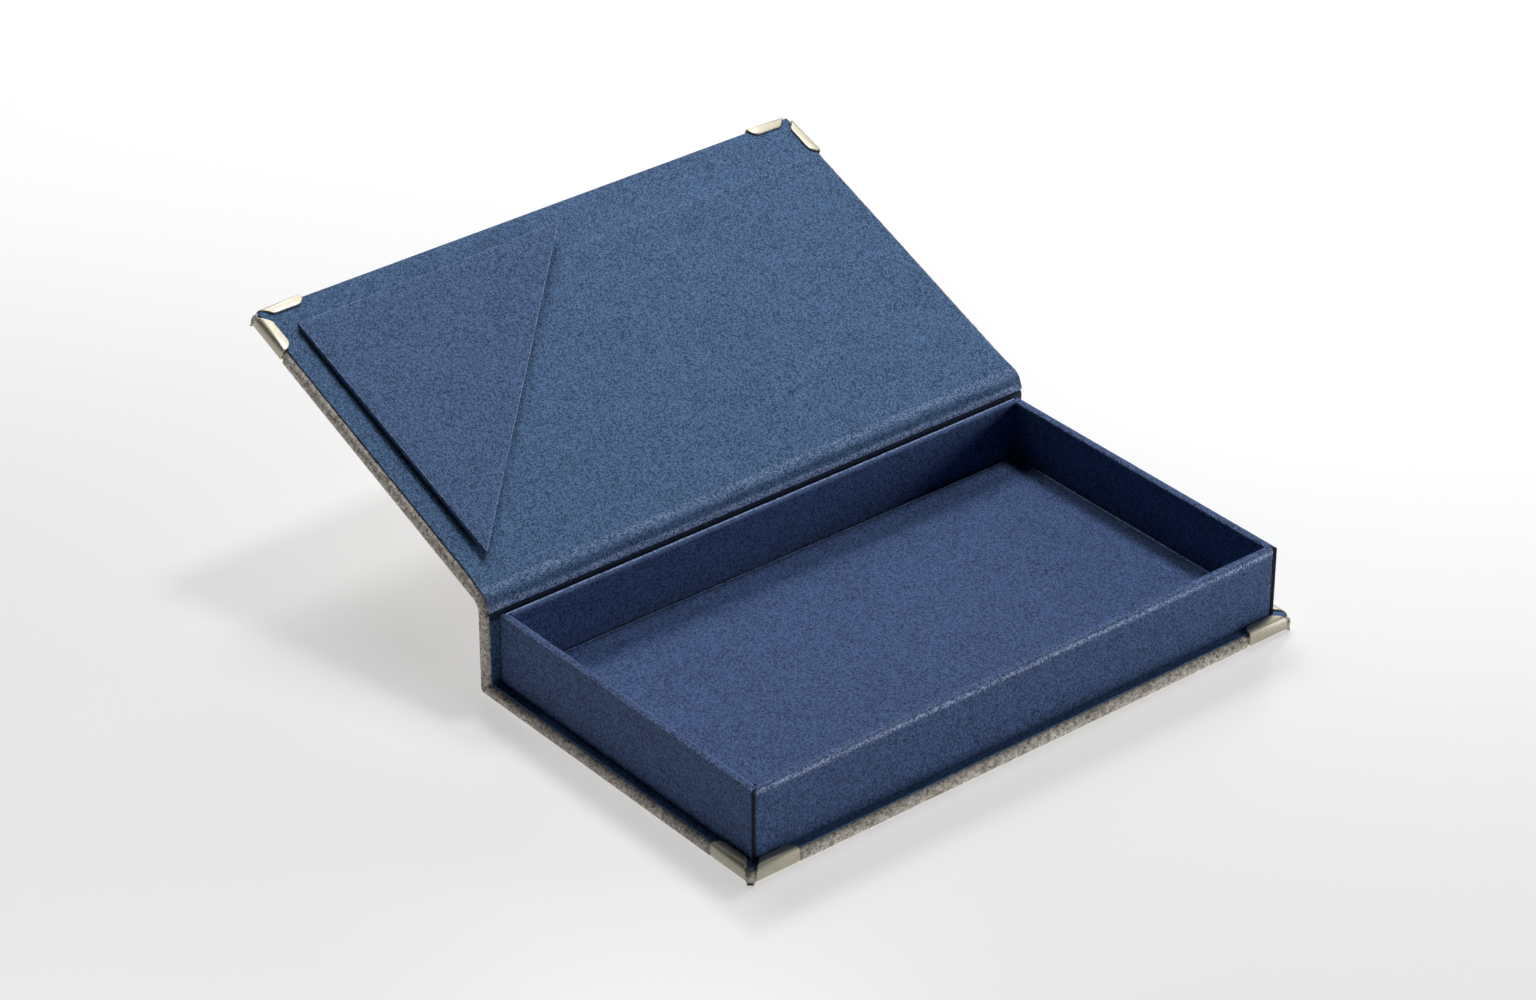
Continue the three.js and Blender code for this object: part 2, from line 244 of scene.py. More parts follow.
def pick(kind, test):
    """Selects the vertices, edges or faces of the edited piece that pass a test."""
    bpy.ops.mesh.select_mode(type=kind)
    bpy.ops.mesh.select_all(action="DESELECT")
    piece = bpy.context.edit_object
    mesh = bmesh.from_edit_mesh(piece.data)
    parts = {"VERT": mesh.verts, "EDGE": mesh.edges, "FACE": mesh.faces}[kind]
    for part in parts:
        if test(part):
            part.select_set(True)
    mesh.select_flush_mode()
    bmesh.update_edit_mesh(piece.data)


def near(a, b):
    return abs(a - b) < SAME


def both(edge, test):
    return all(test(vertex.co) for vertex in edge.verts)


def is_fold(edge):
    """Whether two faces meet at well over half a right angle."""
    return edge.is_manifold and edge.calc_face_angle() > math.radians(57)


def extrude(by):
    bpy.ops.mesh.extrude_region_move(TRANSFORM_OT_translate={"value": tuple(by)})


def slice_at(point, normal, **sides):
    """Cuts the whole edited piece with a plane."""
    bpy.ops.mesh.select_all(action="SELECT")
    bpy.ops.mesh.bisect(plane_co=tuple(point), plane_no=tuple(normal), **sides)


def bevel(width, steps, **settings):
    bpy.ops.mesh.bevel(offset=width, offset_type="OFFSET", segments=steps, **settings)


def outwards():
    bpy.ops.mesh.select_all(action="SELECT")
    bpy.ops.mesh.remove_doubles(threshold=MERGE)
    bpy.ops.mesh.normals_make_consistent(inside=False)


def modify(piece, kind, **settings):
    modifier = piece.modifiers.new(kind.title(), kind)
    for name, value in settings.items():
        setattr(modifier, name, value)
    bpy.ops.object.modifier_apply(modifier=modifier.name)


def close(piece, smooth=35):
    """Leaves edit mode and shades the piece smooth across its rounded edges."""
    if bpy.context.mode != "OBJECT":
        bpy.ops.object.mode_set(mode="OBJECT")
    bpy.ops.object.select_all(action="DESELECT")
    piece.select_set(True)
    bpy.context.view_layer.objects.active = piece
    bpy.ops.object.shade_smooth_by_angle(angle=math.radians(smooth), keep_sharp_edges=False)
    return piece


def thicken(piece, thick, even=True):
    """Gives a covering its thickness, inwards from its outer face."""
    bpy.ops.object.mode_set(mode="OBJECT")
    modify(piece, "SOLIDIFY", thickness=thick, offset=-1, use_even_offset=even, use_quality_normals=True)


def drop_faces(test):
    pick("FACE", test)
    bpy.ops.mesh.delete(type="FACE")


def rows(spacing, low, high, normal):
    """Cuts the piece into strips, evenly, between two distances along a normal."""
    count = max(1, round((high - low) / spacing))
    for i in range(1, count):
        slice_at(Vector(normal) * (low + (high - low) * i / count), normal)


# ---- materials ----

def linear(code):
    """An sRGB hex colour as linear red, green, blue and alpha."""
    parts = [int(code[i:i + 2], 16) / 255 for i in (1, 3, 5)]
    return tuple(c / 12.92 if c <= 0.04045 else ((c + 0.055) / 1.055) ** 2.4 for c in parts) + (1,)


def add_node(tree, kind, settings=None, inputs=None):
    """Adds a node, sets its own settings, and gives each input a value or a link."""
    made = tree.nodes.new(kind)
    for name, value in (settings or {}).items():
        setattr(made, name, value)
    for name, value in (inputs or {}).items():
        if isinstance(value, bpy.types.NodeSocket):
            tree.links.new(value, made.inputs[name])
        else:
            made.inputs[name].default_value = value
    return made


def new_material(name):
    material = bpy.data.materials.new(name)
    material.use_nodes = True
    tree = material.node_tree
    tree.nodes.clear()
    return material, tree


def woven_book_cloth(name, light, dark):
    """Rayon book cloth in plain weave on paper: matt, with a slight sheen off the crowns of its threads.
    Every crossing of two threads takes the light a little differently, which gives the cloth its grain.
    Along its folds and a few marked lines it takes a painted highlight, paler, and in the joint's valley
    painted shade, darker."""
    material, tree = new_material(name)
    place = add_node(tree, "ShaderNodeUVMap", {"uv_map": "cloth"}).outputs[0]

    # threads that wander a little, and the cells where two of them cross
    drift = add_node(tree, "ShaderNodeTexNoise", {"noise_dimensions": "2D"},
                     {"Vector": place, "Scale": 1 / (5 * MM), "Detail": 2, "Roughness": 0.6})
    wander = add_node(tree, "ShaderNodeVectorMath", {"operation": "SUBTRACT"},
                      {0: drift.outputs["Color"], 1: (0.5, 0.5, 0.5)}).outputs[0]
    bent = add_node(tree, "ShaderNodeVectorMath", {"operation": "MULTIPLY_ADD"},
                    {0: wander, 1: (1.2 * THREAD,) * 3, 2: place}).outputs[0]
    threads = add_node(tree, "ShaderNodeVectorMath", {"operation": "DIVIDE"},
                       {0: bent, 1: (THREAD,) * 3}).outputs[0]
    cell = add_node(tree, "ShaderNodeVectorMath", {"operation": "FLOOR"}, {0: threads}).outputs[0]
    crossing = add_node(tree, "ShaderNodeTexWhiteNoise", {"noise_dimensions": "2D"},
                        {"Vector": cell}).outputs["Value"]

    # the crown of the upper thread over each crossing
    turns = add_node(tree, "ShaderNodeVectorMath", {"operation": "MULTIPLY"},
                     {0: threads, 1: (math.pi,) * 3}).outputs[0]
    waves = add_node(tree, "ShaderNodeVectorMath", {"operation": "SINE"}, {0: turns}).outputs[0]
    split = add_node(tree, "ShaderNodeSeparateXYZ", None, {0: waves})
    signed = add_node(tree, "ShaderNodeMath", {"operation": "MULTIPLY"},
                      {0: split.outputs[0], 1: split.outputs[1]}).outputs[0]
    crown = add_node(tree, "ShaderNodeMath", {"operation": "ABSOLUTE"}, {0: signed}).outputs[0]

    # slubs, which are thicker stretches of single threads, 12 mm long, one way and the other
    slubs = []
    for wide, high in ((0.9, 12), (12, 0.9)):
        drawn = add_node(tree, "ShaderNodeVectorMath", {"operation": "MULTIPLY"},
                         {0: place, 1: (1 / (wide * MM), 1 / (high * MM), 1)}).outputs[0]
        slubs.append(add_node(tree, "ShaderNodeTexNoise", {"noise_dimensions": "2D"},
                              {"Vector": drawn, "Scale": 1, "Detail": 2, "Roughness": 0.6}).outputs[0])
    cloud = add_node(tree, "ShaderNodeTexNoise", {"noise_dimensions": "2D"},
                     {"Vector": place, "Scale": 1 / (14 * MM), "Detail": 3, "Roughness": 0.6}).outputs[0]
    grain = 0
    for part, weight in ((crown, 0.4), (crossing, 0.85), (slubs[0], 0.12), (slubs[1], 0.12), (cloud, 0.15)):
        grain = add_node(tree, "ShaderNodeMath", {"operation": "MULTIPLY_ADD"},
                         {0: part, 1: weight, 2: grain}).outputs[0]

    share = add_node(tree, "ShaderNodeMapRange", None,
                     {"Value": grain, "From Min": 0.38, "From Max": 1.2}).outputs[0]
    woven = add_node(tree, "ShaderNodeMix", {"data_type": "RGBA"},
                     {0: share, 6: linear(dark), 7: linear(light)}).outputs[2]

    # painted highlight, paler thread by thread, where the fold mark is above 0, and painted shade, darker,
    # where it is below 0
    fold = add_node(tree, "ShaderNodeAttribute", {"attribute_name": "fold"}).outputs["Fac"]
    # the painted highlight's colours, following the cloth's grain
    pale = add_node(tree, "ShaderNodeMix", {"data_type": "RGBA"},
                    {0: share, 6: linear("#4F6CA2"), 7: linear("#BFD3FA")}).outputs[2]
    by_thread = add_node(tree, "ShaderNodeMath", {"operation": "MULTIPLY_ADD"},
                         {0: crossing, 1: 0.9, 2: 0.2}).outputs[0]
    highlight_share = add_node(tree, "ShaderNodeMath", {"operation": "MULTIPLY"}, {0: fold, 1: by_thread}).outputs[0]
    with_highlight = add_node(tree, "ShaderNodeMix", {"data_type": "RGBA"}, {0: highlight_share, 6: woven, 7: pale}).outputs[2]
    # painted shade: a dark navy for the joint's valley and the gap below it
    shade_share = add_node(tree, "ShaderNodeMath", {"operation": "MULTIPLY"}, {0: fold, 1: -0.85}).outputs[0]
    colour = add_node(tree, "ShaderNodeMix", {"data_type": "RGBA"},
                      {0: shade_share, 6: with_highlight, 7: linear("#080F24")}).outputs[2]

    height = add_node(tree, "ShaderNodeMath", {"operation": "MULTIPLY_ADD"},
                      {0: crossing, 1: 0.5, 2: crown}).outputs[0]
    bump = add_node(tree, "ShaderNodeBump", None,
                    {"Height": height, "Distance": 0.1 * MM, "Strength": 1}).outputs[0]
    shader = add_node(tree, "ShaderNodeBsdfPrincipled", None,
                      {"Base Color": colour, "Roughness": 0.7, "Specular IOR Level": 0.35, "Normal": bump,
                       "Sheen Weight": 0.2, "Sheen Roughness": 0.45, "Sheen Tint": linear("#9DB4D8")})
    add_node(tree, "ShaderNodeOutputMaterial", None, {"Surface": shader.outputs[0]})
    return material


def wool_felt():
    """Grey-brown wool felt, needled from fibres of several greys: no gloss, a speckled, slightly hairy face.
    Its single fibres are too fine to show, so tufts of them are drawn, about a millimetre across."""
    material, tree = new_material("wool_felt_melange")
    place = add_node(tree, "ShaderNodeTexCoord").outputs["Object"]
    blotch = add_node(tree, "ShaderNodeTexNoise", None,
                      {"Vector": place, "Scale": 1 / (1.5 * MM), "Detail": 4, "Roughness": 0.8}).outputs[0]
    fleck = add_node(tree, "ShaderNodeTexNoise", None,
                     {"Vector": place, "Scale": 1 / (0.95 * MM), "Detail": 2, "Roughness": 0.8,
                      "Distortion": 1}).outputs[0]
    broad = add_node(tree, "ShaderNodeTexNoise", None,
                     {"Vector": place, "Scale": 1 / (9 * MM), "Detail": 3}).outputs[0]
    grey = add_node(tree, "ShaderNodeValToRGB", None, {0: blotch})
    ramp = grey.color_ramp
    ramp.elements[0].position, ramp.elements[0].color = 0.36, linear("#877E74")
    ramp.elements[1].position, ramp.elements[1].color = 0.66, linear("#FFFAF2")
    ramp.elements.new(0.5).color = linear("#D6CDC2")
    dark = add_node(tree, "ShaderNodeMapRange", None,
                    {"Value": fleck, "From Min": 0.37, "From Max": 0.42,
                     "To Min": 0.95, "To Max": 0}).outputs[0]
    flecked = add_node(tree, "ShaderNodeMix", {"data_type": "RGBA"},
                       {0: dark, 6: grey.outputs[0], 7: linear("#4A433D")}).outputs[2]
    tone = add_node(tree, "ShaderNodeMapRange", None,
                    {"Value": broad, "From Min": 0.3, "From Max": 0.7,
                     "To Min": 0.9, "To Max": 1.08}).outputs[0]
    colour = add_node(tree, "ShaderNodeVectorMath", {"operation": "MULTIPLY"},
                      {0: flecked, 1: tone}).outputs[0]
    both_sizes = add_node(tree, "ShaderNodeMath", {"operation": "ADD"}, {0: blotch, 1: fleck}).outputs[0]
    bump = add_node(tree, "ShaderNodeBump", None,
                    {"Height": both_sizes, "Distance": 0.35 * MM, "Strength": 0.6}).outputs[0]
    shader = add_node(tree, "ShaderNodeBsdfPrincipled", None,
                      {"Base Color": colour, "Roughness": 0.95, "Specular IOR Level": 0.15, "Normal": bump,
                       "Sheen Weight": 0.35, "Sheen Roughness": 0.6, "Sheen Tint": linear("#D8D2C8")})
    add_node(tree, "ShaderNodeOutputMaterial", None, {"Surface": shader.outputs[0]})
    return material


def pale_brass():
    """Pressed sheet brass with a pale nickel-silver wash, tumbled matt and lacquered: a soft satin sheen,
    faint rubbing marks, drawn half a millimetre apart so that they show, and a thin bright line of lacquer
    along each fold."""
    material, tree = new_material("pale_brass_tumbled")
    place = add_node(tree, "ShaderNodeTexCoord").outputs["Object"]
    cloud = add_node(tree, "ShaderNodeTexNoise", None,
                     {"Vector": place, "Scale": 1 / (2.5 * MM), "Detail": 5, "Roughness": 0.65}).outputs[0]
    grain = add_node(tree, "ShaderNodeTexNoise", None,
                     {"Vector": place, "Scale": 1 / (0.5 * MM), "Detail": 3}).outputs[0]
    colour = add_node(tree, "ShaderNodeMix", {"data_type": "RGBA"},
                      {0: cloud, 6: linear("#ADA793"), 7: linear("#D5D0C0")}).outputs[2]
    rough = add_node(tree, "ShaderNodeMapRange", None,
                     {"Value": cloud, "From Min": 0.3, "From Max": 0.7,
                      "To Min": 0.56, "To Max": 0.68}).outputs[0]
    bump = add_node(tree, "ShaderNodeBump", None,
                    {"Height": grain, "Distance": 0.012 * MM, "Strength": 0.4}).outputs[0]
    shader = add_node(tree, "ShaderNodeBsdfPrincipled", None,
                      {"Base Color": colour, "Metallic": 1, "Roughness": rough, "Normal": bump,
                       "Coat Weight": 0.5, "Coat Roughness": 0.18})
    add_node(tree, "ShaderNodeOutputMaterial", None, {"Surface": shader.outputs[0]})
    return material


def pulp_board(name, light, dark):
    """Board pressed from waste paper: matt, with fibres and specks in it. Single fibres are too fine to show,
    so they are drawn as clumps of about a millimetre."""
    material, tree = new_material(name)
    place = add_node(tree, "ShaderNodeTexCoord").outputs["Object"]
    fibre = add_node(tree, "ShaderNodeTexNoise", None,
                     {"Vector": place, "Scale": 1 / (0.8 * MM), "Detail": 5, "Distortion": 2}).outputs[0]
    colour = add_node(tree, "ShaderNodeMix", {"data_type": "RGBA"},
                      {0: fibre, 6: linear(dark), 7: linear(light)}).outputs[2]
    bump = add_node(tree, "ShaderNodeBump", None,
                    {"Height": fibre, "Distance": 0.05 * MM, "Strength": 0.6}).outputs[0]
    shader = add_node(tree, "ShaderNodeBsdfPrincipled", None,
                      {"Base Color": colour, "Roughness": 0.92, "Normal": bump})
    add_node(tree, "ShaderNodeOutputMaterial", None, {"Surface": shader.outputs[0]})
    return material


def black_ink():
    """Cut edges of board blackened with ink: nearly black and matt, with the fibres still showing, drawn
    coarser than they are."""
    material, tree = new_material("board_edge_inked")
    place = add_node(tree, "ShaderNodeTexCoord").outputs["Object"]
    fibre = add_node(tree, "ShaderNodeTexNoise", None,
                     {"Vector": place, "Scale": 1 / (0.7 * MM), "Detail": 4}).outputs[0]
    colour = add_node(tree, "ShaderNodeMix", {"data_type": "RGBA"},
                      {0: fibre, 6: linear("#05060A"), 7: linear("#15171F")}).outputs[2]
    bump = add_node(tree, "ShaderNodeBump", None,
                    {"Height": fibre, "Distance": 0.04 * MM, "Strength": 0.5}).outputs[0]
    shader = add_node(tree, "ShaderNodeBsdfPrincipled", None,
                      {"Base Color": colour, "Roughness": 0.8, "Specular IOR Level": 0.2, "Normal": bump})
    add_node(tree, "ShaderNodeOutputMaterial", None, {"Surface": shader.outputs[0]})
    return material


def lay_cloth(piece, turn=0, square_to=UPRIGHT):
    """A map of the cloth in metres, so that its threads follow each face and run on over the folds.
    Faces that turn away from the three directions of the board under it are marked as its folds, which take a
    painted highlight."""
    grain = piece.data.uv_layers.new(name="cloth")
    folds = piece.data.attributes.new("fold", "FLOAT", "FACE")
    c, s = math.cos(turn), math.sin(turn)
    for face in piece.data.polygons:
        n = face.normal
        squareness = max(abs(n.dot(way)) for way in square_to)
        # the fold mark: how much painted highlight the face takes
        folds.data[face.index].value = min(1, max(0, FLAT - squareness) / FOLD_RANGE)
        faces_as_lid = abs(n.dot(lid_out)) > 0.98
        for i in face.loop_indices:
            p = piece.data.vertices[piece.data.loops[i].vertex_index].co
            if faces_as_lid:
                u, v = p.x, (p - axis).dot(lid_along) + axis.z
            elif abs(n.z) > 0.7:
                u, v = p.x, p.y
            elif abs(n.y) > abs(n.x):
                u, v = p.x, p.z - math.copysign(1, n.y) * p.y
            else:
                u, v = p.z - math.copysign(1, n.x) * p.x, p.y
            grain.data[i].uv = (c * u - s * v, s * u + c * v)


def dress(piece, material):
    piece.data.materials.clear()
    piece.data.materials.append(material)


# ---- felt cover ----

def mitre(height):
    """Where a layer of the spine meets the same layer of the lid, at a height from their middle planes."""
    return axis + Vector((0, -height, height * (1 - math.sin(lean)) / math.cos(lean)))


def beside_lid(along, height):
    return axis + along * lid_along + height * lid_out


def move_row(test, to):
    """Moves the picked row of vertices to a point in the YZ plane."""
    mesh = bmesh.from_edit_mesh(bpy.context.edit_object.data)
    for vertex in mesh.verts:
        if test(vertex.co):
            vertex.co.y, vertex.co.z = to.y, to.z
    bmesh.update_edit_mesh(bpy.context.edit_object.data)


def grow_case_end(outer_from, inner_from, outer_to, inner_to):
    """Extrudes the open end of the case and sets its outer and inner edges at their new places."""
    def is_end(face):
        on_end = [any((v.co - p).yz.length < SAME for p in (outer_from, inner_from)) for v in face.verts]
        return all(on_end) and abs(face.normal.x) < 0.5
    pick("FACE", is_end)
    step = FIRST_STEP * (outer_to - outer_from).normalized()
    extrude(step)
    move_row(lambda p: (p - outer_from - step).yz.length < SAME, outer_to)
    move_row(lambda p: (p - inner_from - step).yz.length < SAME, inner_to)


def tuck_pleats(cover):
    """A pleat at each end of the fold between the base and the spine."""
    fold = Vector((0, 1, 1)).normalized()
    corner = Vector((0, back, 0))
    for side in (-1, 0, 1):
        slice_at(corner + side * PLEAT_WIDTH * fold, fold)
    mesh = bmesh.from_edit_mesh(cover.data)
    for vertex in mesh.verts:
        if near((vertex.co - corner).dot(fold), 0) and abs(vertex.co.x) > half - PLEAT_REACH:
            depth = PLEAT * min(1, vertex.co.z / PLEAT_RISE)
            vertex.co.x -= math.copysign(depth, vertex.co.x)
    bmesh.update_edit_mesh(cover.data)


def press_joint(cover, outer_height):
    """No board stands in the joint, so the felt is pressed thinner there, towards its outer face."""
    for i in range(-10, 11):
        slice_at(axis + i * JOINT_ROW * bend_along, bend_along)
    mesh = bmesh.from_edit_mesh(cover.data)
    for vertex in mesh.verts:
        p = vertex.co - axis
        p.x = 0
        if p.length < PINCH_REACH:
            pinch = PINCH * math.exp(-(p.dot(bend_along) / PINCH_WIDTH) ** 2)
            vertex.co -= bend_out * (p.dot(bend_out) - outer_height) * pinch
            if abs(vertex.co.y - spine_inner) < VALLEY_FELT:
                vertex.co.y += VALLEY * in_valley(vertex.co.z)
    bmesh.update_edit_mesh(cover.data)


def felt_cover(material):
    """One piece of felt round the base, the spine, the joint and the lid, turned in over their edges."""
    cover = block("felt_cover", (-half, front, 0), (half, back, turn_in_top))
    slice_at((0, spine_inner, 0), (0, 1, 0))
    pick("FACE", lambda f: f.normal.z > 0.9 and f.calc_center_median().y > spine_inner)
    joint_foot = spine_top - JOINT_FOOT
    extrude((0, 0, joint_foot - turn_in_top))
    middle_height = thickness / 2
    inner_height = turn_in_top - middle_height
    spine_end = [Vector((0, y, joint_foot)) for y in (back, spine_inner)]
    bend = [mitre(-middle_height), mitre(inner_height)]
    lid_end = [beside_lid(reach, h) for h in (-middle_height, inner_height)]
    grow_case_end(*spine_end, *bend)
    grow_case_end(*bend, *lid_end)

    # the turn-in: a window in the faces that the lining covers
    pick("FACE", lambda f: f.normal.y < 0.5 and (
        f.normal.z > 0.3 or f.normal.y < -0.5 and f.calc_center_median().y > 0))
    bpy.ops.mesh.inset(thickness=TURN_IN, use_boundary=True, use_even_offset=True)
    bpy.ops.mesh.delete(type="FACE")

    for point, radius in ((bend[0], HOLLOW), (bend[1], BEND - CLOTH - GLUE)):
        pick("EDGE", lambda e: both(e, lambda p: (p - point).yz.length < SAME))
        bevel(radius * math.tan(bend_turn / 2), 12)
    pick("EDGE", lambda e: is_fold(e) and e.is_convex)
    bevel(FELT_ROUND, 6)
    tuck_pleats(cover)
    press_joint(cover, (bend[0] - axis).dot(bend_out))

    outwards()
    bpy.ops.object.mode_set(mode="OBJECT")
    outside = len(cover.data.vertices)
    thicken(cover, FELT, even=False)
    for vertex in cover.data.vertices[outside:]:
        vertex.co.x = math.copysign(min(abs(vertex.co.x), half - THINNEST * FELT), vertex.co.x)
    press_under_corners(cover)
    close(cover)
    dress(cover, material)
    return cover


def corner_matrix(seat, side):
    turn = 0 if side < 0 else math.pi / 2
    return seat @ Matrix.Translation((side * half, 0, 0)) @ Matrix.Rotation(turn, 4, "Z")


def round_off(p, across):
    """Keeps the felt inside the metal's two rounded folds, at the bottom and the top of the panel's edge."""
    room = METAL_BEND - SHEET - METAL_GAP
    for centre_z in (METAL_BEND, METAL_TOP - METAL_BEND):
        is_outside = p.z < centre_z if centre_z == METAL_BEND else p.z > centre_z
        away = Vector((p[across] - METAL_BEND, p.z - centre_z))
        if is_outside and away.x < 0 and away.length > room:
            p[across] = METAL_BEND + away.x * room / away.length
            p.z = centre_z + away.y * room / away.length


def press_under_corners(cover):
    """Presses the felt back under each metal corner, with a narrow slope round the metal's outline."""
    deep = SHEET + METAL_GAP
    x, y = Vector((1, 0, 0)), Vector((0, 1, 0))
    diagonal = (x + y).normalized()
    cuts = [(way, at) for way in (x, y) for at in (TIP - SLOPE, TIP, LEG, LEG + SLOPE)]
    for at, away in ((TIP, -SLOPE), (LEG, SLOPE)):
        cuts += [(diagonal, at / math.sqrt(2)), (diagonal, at / math.sqrt(2) + away)]
    for seat in (base_seat, lid_seat):
        for side in (-1, 1):
            place = corner_matrix(seat, side)
            into = place.inverted()
            turn = place.to_3x3()
            bpy.ops.object.mode_set(mode="EDIT")
            for way, at in cuts:
                slice_at(place @ (way * at), turn @ way)
            mesh = bmesh.from_edit_mesh(cover.data)
            for vertex in mesh.verts:
                p = into @ vertex.co
                total = p.x + p.y
                if p.x > LEG + HAIR or p.y > LEG + HAIR or total < TIP - HAIR:
                    continue
                if total < LEG + HAIR and p.z < SKIN:
                    p.z = max(p.z, deep)
                if p.x > TIP - HAIR and p.y < SKIN:
                    p.y = max(p.y, deep)
                if p.y > TIP - HAIR and p.x < SKIN:
                    p.x = max(p.x, deep)
                for leg, across in TWO_EDGES:
                    if p[leg] > TIP - HAIR:
                        round_off(p, across)
                vertex.co = place @ p
            bmesh.update_edit_mesh(cover.data)
            bpy.ops.object.mode_set(mode="OBJECT")


# ---- metal corners ----

def metal_corner():
    """Pressed from one sheet: a three-cornered plate with two edges folded up and over.
    The flanges end along the mitre beside the tip, and round off at their far ends."""
    corner = sheet("metal_corner", (0, 0, 0), (LEG_SHOWN, LEG_SHOWN, 0))
    slice_at((LEG_SHOWN, 0, 0), (1, 1, 0), clear_outer=True)
    slice_at((TIP / 2, 0, 0), (1, 1, 0), clear_inner=True)
    slice_at((TIP, 0, 0), (1, 0, 0))
    slice_at((0, TIP, 0), (0, 1, 0))
    for leg, across in TWO_EDGES:
        inwards = Vector((0, 0, 0))
        inwards[across] = FLANGE
        pick("EDGE", lambda e: both(e, lambda p: near(p[across], 0) and near(p.z, 0)
                                    and p[leg] > TIP - HAIR))
        extrude((0, 0, METAL_TOP))
        extrude(inwards)
    mesh = bmesh.from_edit_mesh(corner.data)
    for vertex in mesh.verts:
        for leg, across in TWO_EDGES:
            p = vertex.co
            if near(p.z, METAL_TOP) and near(p[across], FLANGE) and near(p[leg], TIP):
                p[leg] += FLANGE
                break
    bmesh.update_edit_mesh(corner.data)
    for leg, across in TWO_EDGES:
        for end, radius, steps in ((LEG_SHOWN, FLANGE_ROUND, 8), (TIP + FLANGE, FLANGE_TIP_ROUND, 3)):
            pick("VERT", lambda v: near(v.co.z, METAL_TOP) and near(v.co[across], FLANGE)
                 and near(v.co[leg], end))
            bevel(radius, steps, affect="VERTICES")

    pick("EDGE", is_fold)
    bevel(METAL_BEND, 6)
    outwards()
    mesh = bmesh.from_edit_mesh(corner.data)
    plate = max(mesh.faces, key=lambda f: f.calc_area())
    if plate.normal.z > 0:
        bpy.ops.mesh.flip_normals()
    outside = len(mesh.verts)
    thicken(corner, SHEET)
    bpy.ops.object.mode_set(mode="EDIT")
    pick("EDGE", lambda e: is_fold(e) and all(v.index < outside for v in e.verts))
    bevel(ROLLED, 4)
    return close(corner, 40)


def place_corners(material):
    model = metal_corner()
    dress(model, material)
    for body, seat, labels in (("case", base_seat, ("base_corner_left", "base_corner_right")),
                               ("lid", lid_seat, ("lid_corner_right", "lid_corner_left"))):
        for side, node in zip((-1, 1), labels):
            copy = model.copy()
            copy.data = model.data.copy()
            copy.name = node + "_metal"
            bpy.context.scene.collection.objects.link(copy)
            copy.data.transform(corner_matrix(seat, side))
            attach(copy, body)
            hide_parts(node)
    bpy.data.objects.remove(model)


# ---- lining ----

def in_valley(z, below=0):
    """How far a height is inside the joint's valley, just above the end of the spine's board: 0 to 1.
    Given a length below, it reaches that much further down, for the painted shade in the gap between the tray
    and the spine."""
    return math.exp(-((z - VALLEY_HEIGHT + below / 2) / ((VALLEY_WIDTH + below) / 2)) ** 4)


def in_groove(from_axis):
    """How far a point is inside the joint's soft hollow: 0 to 1."""
    return math.exp(-((from_axis.dot(bend_along) - GROOVE_PLACE) / (GROOVE_WIDTH / 2)) ** 2)


def in_crease(along):
    """How far a place along the lid is inside the crease over the felt's turned-in end: 0 to 1."""
    return math.exp(-((along - reach + TURN_IN) / CREASE_WIDTH) ** 2)


def shape_lining(cloth):
    """Presses the lining into the joint. On the lid it is a little uneven, over the felt's turned-in end."""
    mesh = bmesh.from_edit_mesh(cloth.data)
    for vertex in mesh.verts:
        p = vertex.co - axis
        p.x = 0
        if p.length < JOINT_REACH:
            vertex.co -= bend_out * GROOVE * in_groove(p)
            vertex.co.y += VALLEY * in_valley(vertex.co.z)
        along = p.dot(lid_along)
        if along > LID_FROM:
            vertex.co += lid_out * CREASE * in_crease(along)
            vertex.co += lid_out * WAVE * noise.noise(vertex.co / WAVE_LENGTH)
            vertex.co.x *= 1 - LID_BARE / half
    bmesh.update_edit_mesh(cloth.data)


def tone_lining(cloth):
    """Marks the lining's painted highlights, on the roll above the valley, over the lower end of the lid's
    board and along the crease, and its painted shade in the valley and the gap below it.
    """
    folds = cloth.data.attributes["fold"].data
    for face in cloth.data.polygons:
        p = face.center - axis
        along = p.dot(lid_along)
        if p.yz.length < TONE_REACH:
            # painted highlights on the roll and over the lid board's lower end, less the painted shade of the
            # valley and the gap below it
            ridge = math.exp(-((face.center.z - RIDGE_HEIGHT) / (RIDGE_WIDTH / 2)) ** 4)
            lid_band = math.exp(-((along - LID_BAND_PLACE) / LID_BAND_WIDTH) ** 2)
            tone = RIDGE_TONE * ridge + LID_BAND_TONE * lid_band - in_valley(face.center.z, VALLEY_SHADE)
        else:
            # painted highlight along the crease
            tone = CREASE_TONE * in_crease(along)
        folds[face.index].value = tone


